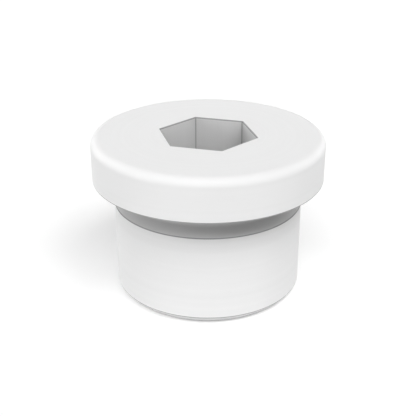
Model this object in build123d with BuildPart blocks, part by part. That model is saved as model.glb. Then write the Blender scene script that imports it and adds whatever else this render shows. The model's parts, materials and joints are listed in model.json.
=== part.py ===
"""Hex socket plug: a one-piece screw plug that closes a threaded port.

It is a single turned piece, in three steps along one axis. The round head seats on the port's face and
holds a hexagon socket. The neck under it is a relief, so that the thread can run out and the head can
seat fully. The shank below is plain here, at its thread's major diameter, and ends in a lead chamfer.

The plug stands on its end face, with its axis on Z and the origin at the centre of that face. Lengths
are in millimetres and angles in degrees.
"""

import os
from math import radians, tan

from build123d import *

# Shank, at the major diameter of its M22 x 1.5 thread
SHANK_DIAMETER = 22.0
SHANK_LENGTH = 14.0  # from the seat under the head to the end face
LEAD_CHAMFER = 1.0  # at 45 degrees

# Neck, the relief between the seat and the thread
NECK_DEPTH = 1.15  # below the thread's crest
NECK_WIDTH = 3.0  # from the seat to the thread's upper rim
NECK_FLANK_ANGLE = 45.0  # between the axis and the flank that rises to the thread's rim
NECK_ROOT_RADIUS = 0.8  # left by the nose of the turning tool

# Head
SEAT_WIDTH = 2.5  # how far the head reaches beyond the shank, all round
HEAD_HEIGHT = 5.0
HEAD_EDGE_RADIUS = 1.0

# Hexagon socket, for a key of 10 mm across flats
SOCKET_ACROSS_FLATS = 10.0
SOCKET_DEPTH = 7.5  # of the six flats
SOCKET_POINT_ANGLE = 120.0  # of the drilled point below them

EDGE_BREAK = 0.1  # radius on the turned rims
ROOT_SHARE = 0.9  # the most of the neck's straight wall that its two root rounds may take

# Radii, and heights above the end face
shank_radius = SHANK_DIAMETER / 2
end_radius = shank_radius - LEAD_CHAMFER
neck_radius = shank_radius - NECK_DEPTH
head_radius = shank_radius + SEAT_WIDTH

seat_height = SHANK_LENGTH
top_height = seat_height + HEAD_HEIGHT
thread_top_height = seat_height - NECK_WIDTH
flank_top_height = thread_top_height + NECK_DEPTH / tan(radians(NECK_FLANK_ANGLE))

# The root round at the seat turns through a right angle and the one at the flank through the flank's
# angle. Together they stay within the straight wall between the two.
root_tangents = 1 + tan(radians(NECK_FLANK_ANGLE / 2))
root_radius = min(NECK_ROOT_RADIUS, ROOT_SHARE * (seat_height - flank_top_height) / root_tangents)

# Each corner of the turned profile, as its radius and height, with the round that it gets
PROFILE = [
    ((0, 0), 0),
    ((end_radius, 0), EDGE_BREAK),
    ((shank_radius, LEAD_CHAMFER), EDGE_BREAK),
    ((shank_radius, thread_top_height), EDGE_BREAK),
    ((neck_radius, flank_top_height), root_radius),
    ((neck_radius, seat_height), root_radius),
    ((head_radius, seat_height), EDGE_BREAK),
    ((head_radius, top_height), HEAD_EDGE_RADIUS),
    ((0, top_height), 0),
]

socket_circle_radius = SOCKET_ACROSS_FLATS / 2
point_height = socket_circle_radius / tan(radians(SOCKET_POINT_ANGLE / 2))

with BuildPart() as plug:
    # The turned blank
    with BuildSketch(Plane.XZ):
        with BuildLine():
            FilletPolyline(
                [corner for corner, _ in PROFILE], radius=[round_ for _, round_ in PROFILE], close=True
            )
        make_face()
    revolve(axis=Axis.Z)

    # The hexagon of the socket, with two of its flats square to X
    with BuildSketch(Plane.XY.offset(top_height)):
        RegularPolygon(socket_circle_radius, 6, major_radius=False, rotation=30)
    extrude(amount=-SOCKET_DEPTH, mode=Mode.SUBTRACT)

    # The drilled point at its bottom
    with BuildSketch(Plane.XZ):
        with BuildLine():
            Polyline(
                (0, top_height - SOCKET_DEPTH),
                (socket_circle_radius, top_height - SOCKET_DEPTH),
                (0, top_height - SOCKET_DEPTH - point_height),
                close=True,
            )
        make_face()
    revolve(axis=Axis.Z, mode=Mode.SUBTRACT)

plug.part.label = "plug"
os.makedirs("parts", exist_ok=True)
export_step(plug.part, "parts/plug.step")
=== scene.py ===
import json
from collections import namedtuple
from math import acos, atan2, cos, pi, radians, sin, tan

import bpy
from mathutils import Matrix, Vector


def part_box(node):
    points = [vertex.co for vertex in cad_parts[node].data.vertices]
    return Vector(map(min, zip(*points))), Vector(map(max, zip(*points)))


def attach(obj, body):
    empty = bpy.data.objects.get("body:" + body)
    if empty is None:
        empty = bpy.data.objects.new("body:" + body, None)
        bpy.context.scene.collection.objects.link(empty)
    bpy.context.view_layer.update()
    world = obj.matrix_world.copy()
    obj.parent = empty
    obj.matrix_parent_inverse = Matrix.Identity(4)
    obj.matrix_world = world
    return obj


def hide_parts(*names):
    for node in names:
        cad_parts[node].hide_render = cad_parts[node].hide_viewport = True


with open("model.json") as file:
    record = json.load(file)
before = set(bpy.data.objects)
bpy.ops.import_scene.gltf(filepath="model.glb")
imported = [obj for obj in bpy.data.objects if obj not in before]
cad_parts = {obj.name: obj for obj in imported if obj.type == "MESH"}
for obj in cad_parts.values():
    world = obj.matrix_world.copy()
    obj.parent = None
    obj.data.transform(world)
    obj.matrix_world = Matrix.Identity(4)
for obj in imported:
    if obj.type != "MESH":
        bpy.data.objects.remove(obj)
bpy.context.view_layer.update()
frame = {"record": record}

# ---- The plug ----
# One piece of white engineering plastic, turned from bar: a flanged head, a relief where the thread runs
# out, and a shank with a lead chamfer. The hexagon socket is cut over a drilled hole. The mesh follows
# the same rule: an outline is turned about the axis, and the socket's rows are cut to a hexagon.
MM = 0.001
LEAD_CHAMFER = 1.0 * MM
NECK_DEPTH = 1.15 * MM
NECK_WIDTH = 3.0 * MM
NECK_FLANK_ANGLE = radians(45)
NECK_ROOT_RADIUS = 0.8 * MM
HEAD_EDGE_RADIUS = 1.0 * MM
EDGE_BREAK = 0.1 * MM
SOCKET_SIDES = 6
SOCKET_ACROSS_FLATS = 10.0 * MM
SOCKET_DEPTH = 7.5 * MM
SOCKET_POINT_ANGLE = radians(120)
DRILL_SHARE = 0.98  # of the circle inside the hexagon, so that the drilled rim clears the flats

STEPS_ROUND = 360
ARC_STEP = radians(9)
CREASE_ANGLE = radians(25)
GUARD = 0.05 * MM  # from each corner to the row beside it, which keeps the shading of the faces flat
GUARD_SHARE = 0.3  # the most of a short stretch that one guard takes
MERGE_DISTANCE = GUARD / 100
INNER_CORNER_SHARE = 0.99  # of half a flat, past which a point counts as lying between two flats

mounts = {mount["name"]: mount for mount in frame["record"]["mounts"]}
plug_low, plug_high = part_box("plug")
head_radius = plug_high.x
top_height = plug_high.z
seat_height = mounts["seat"]["pos_m"][2]
shank_radius = mounts["thread"]["dims"]["r_mm"] * MM
neck_radius = shank_radius - NECK_DEPTH
rim_height = seat_height - NECK_WIDTH
flank_top = rim_height + NECK_DEPTH / tan(NECK_FLANK_ANGLE)
apothem = SOCKET_ACROSS_FLATS / 2
socket_floor = top_height - SOCKET_DEPTH
drill_radius = DRILL_SHARE * apothem
drill_tip = socket_floor - drill_radius / tan(SOCKET_POINT_ANGLE / 2)

# Corners of the outline, from the middle of the end face up the outside and down into the socket: the
# radius and height of each, the round on it, and whether its row is cut to the hexagon
Corner = namedtuple("Corner", "radius height round cut")
CORNERS = [
    Corner(0, 0, 0, False),
    Corner(shank_radius - LEAD_CHAMFER, 0, EDGE_BREAK, False),
    Corner(shank_radius, LEAD_CHAMFER, EDGE_BREAK, False),
    Corner(shank_radius, rim_height, EDGE_BREAK, False),
    Corner(neck_radius, flank_top, NECK_ROOT_RADIUS, False),
    Corner(neck_radius, seat_height, NECK_ROOT_RADIUS, False),
    Corner(head_radius, seat_height, EDGE_BREAK, False),
    Corner(head_radius, top_height, HEAD_EDGE_RADIUS, False),
    Corner(apothem, top_height, EDGE_BREAK, True),
    Corner(apothem, socket_floor, 0, True),
    Corner(drill_radius, socket_floor, 0, False),
    Corner(0, drill_tip, 0, False),
]

# A row of the mesh, which one point of the outline draws when it is turned: where the point is, and
# whether the row is cut to the hexagon, lies on a broken edge, or lies on the socket's flats
Row = namedtuple("Row", "point cut edge flat")


def rounded_corner(before, corner, after, radius):
    """The points of the arc that rounds a corner of the outline, or the corner itself if it is sharp."""
    if radius == 0:
        return [corner]
    back, onward = (before - corner).normalized(), (after - corner).normalized()
    half_angle = acos(back.dot(onward)) / 2
    centre = corner + (back + onward).normalized() * radius / sin(half_angle)
    start = corner + back * radius / tan(half_angle) - centre
    end = corner + onward * radius / tan(half_angle) - centre
    first = atan2(start.y, start.x)
    turn = (atan2(end.y, end.x) - first + pi) % (2 * pi) - pi
    steps = max(3, round(abs(turn) / ARC_STEP))
    angles = [first + turn * step / steps for step in range(steps + 1)]
    return [centre + Vector((cos(angle), sin(angle))) * radius for angle in angles]


def outline_rows():
    """The rows of the outline: those of each corner's arc, and a guard row at each end of a stretch."""
    points = [Vector((corner.radius, corner.height)) for corner in CORNERS]
    cut_before = CORNERS[0].cut
    rows = [Row(points[0], cut_before, False, False)]
    for before, point, after, corner in zip(points, points[1:], points[2:], CORNERS[1:]):
        arc = rounded_corner(before, point, after, corner.round)
        last = rows[-1].point
        stretch = arc[0] - last
        step = stretch * min(GUARD / stretch.length, GUARD_SHARE)
        on_flat = cut_before and corner.cut
        rows.append(Row(last + step, cut_before, False, on_flat))
        rows.append(Row(arc[0] - step, corner.cut, False, on_flat))
        rows += [Row(arc_point, corner.cut, corner.round == EDGE_BREAK, False) for arc_point in arc]
        cut_before = corner.cut
    return rows + [Row(points[-1], False, False, False)]


rows = outline_rows()
outline = bpy.data.meshes.new("outline")
outline.from_pydata([(row.point.x, 0, row.point.y) for row in rows], [], [])
for name in ("cut", "edge", "flat"):
    marked = outline.attributes.new(name, "FLOAT", "POINT")
    marked.data.foreach_set("value", [float(getattr(row, name)) for row in rows])


def node_makers(tree):
    """Two ways to add to a tree: any node, fed by values or by other nodes, and a maths node."""

    def node(kind, feeds=(), **settings):
        made = tree.nodes.new(kind)
        for name, value in settings.items():
            setattr(made, name, value)
        for place, source in dict(feeds).items():
            if isinstance(source, bpy.types.NodeSocket):
                tree.links.new(source, made.inputs[place])
            else:
                made.inputs[place].default_value = source
        return made.outputs

    def maths(operation, *values):
        return node("ShaderNodeMath", enumerate(values), operation=operation)[0]

    return node, maths


def turning_tree():
    """The node tree that turns an outline of loose points about Z and cuts its marked rows to flats."""
    tree = bpy.data.node_groups.new("turn and cut", "GeometryNodeTree")
    node, maths = node_makers(tree)
    make_socket = tree.interface.new_socket
    make_socket("Outline", in_out="INPUT", socket_type="NodeSocketGeometry")
    sizes = {"Steps Round": "Int", "Flats": "Int", "Crease": "Float", "Finish": "Material"}
    inputs = {}
    for name, kind in sizes.items():
        inputs[name] = make_socket(name, in_out="INPUT", socket_type="NodeSocket" + kind).identifier
    make_socket("Plug", in_out="OUTPUT", socket_type="NodeSocketGeometry")
    given = node("NodeGroupInput")

    # A sheet of points, as long as the outline and one step longer than a turn
    size = node("GeometryNodeAttributeDomainSize", {"Geometry": given["Outline"]})["Point Count"]
    around = maths("ADD", given["Steps Round"], 1)
    sheet = node("GeometryNodeMeshGrid", {"Vertices X": around, "Vertices Y": size})["Mesh"]
    index = node("GeometryNodeInputIndex")[0]
    row = maths("MODULO", index, size)
    turned = maths("FLOOR", maths("DIVIDE", index, size))
    angle = maths("MULTIPLY", maths("DIVIDE", turned, given["Steps Round"]), 2 * pi)

    def of_row(value, kind):
        feeds = {"Geometry": given["Outline"], "Value": value, "Index": row}
        return node("GeometryNodeSampleIndex", feeds, data_type=kind)[0]

    def marked_as(name):
        return of_row(node("GeometryNodeInputNamedAttribute", {0: name}, data_type="FLOAT")[0], "FLOAT")

    # The radius of each point: as in the outline, or out to the flats where the row is cut
    on_outline = of_row(node("GeometryNodeInputPosition")[0], "FLOAT_VECTOR")
    on_outline = node("ShaderNodeSeparateXYZ", {0: on_outline})
    one_flat = maths("DIVIDE", 2 * pi, given["Flats"])
    half_flat = maths("DIVIDE", one_flat, 2)
    off_flat = maths("SUBTRACT", maths("MODULO", maths("ADD", angle, half_flat), one_flat), half_flat)
    out_to_flat = maths("DIVIDE", 1, maths("COSINE", off_flat))
    stretch = maths("ADD", 1, maths("MULTIPLY", marked_as("cut"), maths("SUBTRACT", out_to_flat, 1)))
    radius = maths("MULTIPLY", on_outline["X"], stretch)
    turned_x = maths("MULTIPLY", radius, maths("COSINE", angle))
    turned_y = maths("MULTIPLY", radius, maths("SINE", angle))
    place = node("ShaderNodeCombineXYZ", {"X": turned_x, "Y": turned_y, "Z": on_outline["Z"]})[0]
    shape = node("GeometryNodeSetPosition", {"Geometry": sheet, "Position": place})[0]

    # What the finish reads: which points lie on a flat, and which on a broken edge or between two flats
    flat = marked_as("flat")
    inner_corner = maths("MULTIPLY", half_flat, INNER_CORNER_SHARE)
    between = maths("GREATER_THAN", maths("ABSOLUTE", off_flat), inner_corner)
    edge = maths("MAXIMUM", marked_as("edge"), maths("MULTIPLY", flat, between))
    for name, value in (("edge", edge), ("flat", flat)):
        stored = {"Geometry": shape, "Name": name, "Value": value}
        shape = node("GeometryNodeStoreNamedAttribute", stored)[0]

    # The turn is closed, and only true corners are creased
    shape = node("GeometryNodeMergeByDistance", {"Geometry": shape, "Distance": MERGE_DISTANCE})[0]
    shape = node("GeometryNodeSetShadeSmooth", {"Geometry": shape})[0]
    between_faces = node("GeometryNodeInputMeshEdgeAngle")["Unsigned Angle"]
    sharp = node("FunctionNodeCompare", {0: between_faces, 1: given["Crease"]}, operation="GREATER_THAN")[0]
    creased = {"Geometry": shape, "Selection": sharp, "Shade Smooth": False}
    shape = node("GeometryNodeSetShadeSmooth", creased, domain="EDGE")[0]
    shape = node("GeometryNodeRealizeInstances", {"Geometry": shape})[0]
    shape = node("GeometryNodeSetMaterial", {"Geometry": shape, "Material": given["Finish"]})[0]
    node("NodeGroupOutput", {"Plug": shape})
    return tree, inputs


WHITE = 0.88
GLOSS = 0.35
SATIN = (0.52, 0.72)  # roughness, from the low to the high of the tool's marks
RING_PITCH = 0.5 * MM
WALL_FEED = 0.6  # how fast the rings follow the height on a wall, against the radius on a face
BROACH_PITCH = 0.25 * MM
BROACH_LENGTH = 50  # of a broach line, in its own widths
MARK_DEPTH = 0.01 * MM
MARK_DETAIL = 3
MARK_TONES = (0.98, 1.02)
CLOUD_SIZE = 9 * MM
CLOUD_DETAIL = 2
CLOUD_TONES = (0.985, 1.015)
EDGE_TONE = 0.4
# Painted shade in the hollows: the colour is darkened by ambient occlusion down to this share, within this
# reach
PAINTED_SHADE_TONE = 0.25
PAINTED_SHADE_REACH = 8.5 * MM
PAINTED_SHADE_SAMPLES = 32


def white_plastic():
    """White plastic as it leaves the lathe: satin, with faint rings from the tool and broached flats, and
    painted shade in its hollows.
    """
    material = bpy.data.materials.new("white turned plastic")
    material.use_nodes = True
    tree = material.node_tree
    node, maths = node_makers(tree)
    shader = tree.nodes["Principled BSDF"]
    shader.inputs["Specular IOR Level"].default_value = GLOSS

    def spread(value, low, high):
        return node("ShaderNodeMapRange", {"Value": value, "To Min": low, "To Max": high})["Result"]

    where = node("ShaderNodeTexCoord")["Object"]
    axes = node("ShaderNodeSeparateXYZ", {0: where})
    flat = node("ShaderNodeAttribute", attribute_name="flat")["Fac"]
    edge = node("ShaderNodeAttribute", attribute_name="edge")["Fac"]

    # The lathe's feed leaves rings, which follow the radius on a face and the height on a wall
    from_axis = maths("SQRT", maths("ADD", maths("POWER", axes["X"], 2), maths("POWER", axes["Y"], 2)))
    along_feed = maths("ADD", from_axis, maths("MULTIPLY", axes["Z"], WALL_FEED))
    feed = {"W": along_feed, "Scale": 1 / RING_PITCH, "Detail": MARK_DETAIL}
    rings = node("ShaderNodeTexNoise", feed, noise_dimensions="1D")["Fac"]

    # The broach leaves lines down each flat of the socket
    drawn_out = node("ShaderNodeMapping", {"Vector": where, "Scale": (1, 1, 1 / BROACH_LENGTH)})[0]
    broach = {"Vector": drawn_out, "Scale": 1 / BROACH_PITCH, "Detail": MARK_DETAIL}
    lines = node("ShaderNodeTexNoise", broach)["Fac"]
    marks = node("ShaderNodeMix", {"Factor": flat, "A": rings, "B": lines})["Result"]

    # Bar stock is never quite one white. Broken edges are greyer. The hollows that the plug itself shelters
    # get painted shade: an ambient occlusion term darkens their colour, because the white all round them
    # would otherwise light them up.
    haze = {"Vector": where, "Scale": 1 / CLOUD_SIZE, "Detail": CLOUD_DETAIL}
    cloud = node("ShaderNodeTexNoise", haze)["Fac"]
    reach = {"Distance": PAINTED_SHADE_REACH}
    open_sky = node("ShaderNodeAmbientOcclusion", reach, only_local=True, samples=PAINTED_SHADE_SAMPLES)["AO"]
    tone = spread(cloud, *CLOUD_TONES)
    tone = maths("MULTIPLY", tone, spread(marks, *MARK_TONES))
    tone = maths("MULTIPLY", tone, spread(edge, 1, EDGE_TONE))
    # Painted shade: darker colour where the plug shelters itself
    tone = maths("MULTIPLY", tone, spread(open_sky, PAINTED_SHADE_TONE, 1))
    tone = maths("MULTIPLY", tone, WHITE)
    grey = node("ShaderNodeCombineColor", {"Red": tone, "Green": tone, "Blue": tone})[0]
    raised = node("ShaderNodeBump", {"Height": marks, "Distance": MARK_DEPTH, "Strength": 1})[0]
    tree.links.new(grey, shader.inputs["Base Color"])
    tree.links.new(spread(marks, *SATIN), shader.inputs["Roughness"])
    tree.links.new(raised, shader.inputs["Normal"])
    return material


tree, inputs = turning_tree()
plug = bpy.data.objects.new("white_plug", outline)
bpy.context.collection.objects.link(plug)
turning = plug.modifiers.new("turning", "NODES")
turning.node_group = tree
turning[inputs["Steps Round"]] = STEPS_ROUND
turning[inputs["Flats"]] = SOCKET_SIDES
turning[inputs["Crease"]] = CREASE_ANGLE
turning[inputs["Finish"]] = white_plastic()
made = plug.evaluated_get(bpy.context.evaluated_depsgraph_get())
plug_mesh = bpy.data.meshes.new_from_object(made)
plug_mesh.materials.pop(index=0)  # the sheet's own empty place, before the finish
plug.modifiers.remove(turning)
plug.data = plug_mesh
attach(plug, "root")
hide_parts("plug")

# ---- The floor ----
# A plain white studio sheet, wide enough to fill every view. Part of its white is its own and takes the
# light and the shadow. The rest is added only where it is seen, so that it isn't a lamp.
FLOOR_REACH = 1.5
FLOOR_GREY = 0.75
FLOOR_LIFT = 0.35


def seen_white(tree, strength):
    """An output that is strength for rays that show a surface, and 0 for rays that only light others."""
    node, maths = node_makers(tree)
    path = node("ShaderNodeLightPath")
    seen = maths("MAXIMUM", path["Is Camera Ray"], path["Is Glossy Ray"])
    seen = maths("MAXIMUM", seen, path["Is Transmission Ray"])
    return maths("MULTIPLY", seen, strength)


floor_mesh = bpy.data.meshes.new("floor")
corners = [(x * FLOOR_REACH, y * FLOOR_REACH, 0) for x, y in ((-1, -1), (1, -1), (1, 1), (-1, 1))]
floor_mesh.from_pydata(corners, [], [(0, 1, 2, 3)])
floor = bpy.data.objects.new("floor", floor_mesh)
bpy.context.collection.objects.link(floor)
paper = bpy.data.materials.new("white sheet")
paper.use_nodes = True
matt = paper.node_tree.nodes["Principled BSDF"]
matt.inputs["Base Color"].default_value = (FLOOR_GREY, FLOOR_GREY, FLOOR_GREY, 1)
matt.inputs["Roughness"].default_value = 1
matt.inputs["Specular IOR Level"].default_value = 0
matt.inputs["Emission Color"].default_value = (1, 1, 1, 1)
paper.node_tree.links.new(seen_white(paper.node_tree, FLOOR_LIFT), matt.inputs["Emission Strength"])
floor_mesh.materials.append(paper)

# ---- The camera ----
# It looks down at the standing plug from its front right, over a corner of the box that the plug fills,
# and from so near that the walls of the head and the shank close in towards the floor.
VIEW_AZIMUTH = radians(45)
VIEW_ELEVATION = radians(25.15)
VIEW_DISTANCE = 101.7 * MM
VIEW_ANGLE = radians(27.5)


def towards(azimuth, elevation):
    """The way out to a place at this azimuth, counted from -Y towards +X, and this elevation."""
    level = cos(elevation)
    return Vector((sin(azimuth) * level, -cos(azimuth) * level, sin(elevation)))


camera = bpy.data.objects.new("camera", bpy.data.cameras.new("camera"))
bpy.context.collection.objects.link(camera)
middle = (plug_low + plug_high) / 2
outward = towards(VIEW_AZIMUTH, VIEW_ELEVATION)
camera.location = middle + outward * VIEW_DISTANCE
camera.rotation_euler = outward.to_track_quat("Z", "Y").to_euler()
camera.data.angle = VIEW_ANGLE
camera.data.clip_start = 1 * MM
bpy.context.scene.camera = camera

# ---- The light ----
# Soft lamps far off, each a wide disc: its azimuth from the camera's side, with right positive, its
# elevation and its strength. The white of the sky is only what is seen past the floor.
LAMP_WIDTH = radians(30)
LAMPS = {
    "left key": (-10, 52, 0.43),
    "right key": (40, 56, 0.49),
    "left strip": (-85, 10, 0.31),
    "front strip": (20, 10, 0.1),
    "back left": (-135, 10, 0.3),
    "back right": (135, 10, 0.3),
}

for name, (azimuth, elevation, strength) in LAMPS.items():
    lamp = bpy.data.objects.new(name, bpy.data.lights.new(name, "SUN"))
    bpy.context.collection.objects.link(lamp)
    lamp.data.energy = strength * pi
    lamp.data.angle = LAMP_WIDTH
    outward = towards(VIEW_AZIMUTH + radians(azimuth), radians(elevation))
    lamp.rotation_euler = outward.to_track_quat("Z", "Y").to_euler()

world = bpy.data.worlds.new("studio")
world.use_nodes = True
sky = world.node_tree.nodes["Background"]
sky.inputs["Color"].default_value = (1, 1, 1, 1)
world.node_tree.links.new(seen_white(world.node_tree, 1), sky.inputs["Strength"])
bpy.context.scene.world = world
bpy.context.scene.view_settings.view_transform = "Standard"
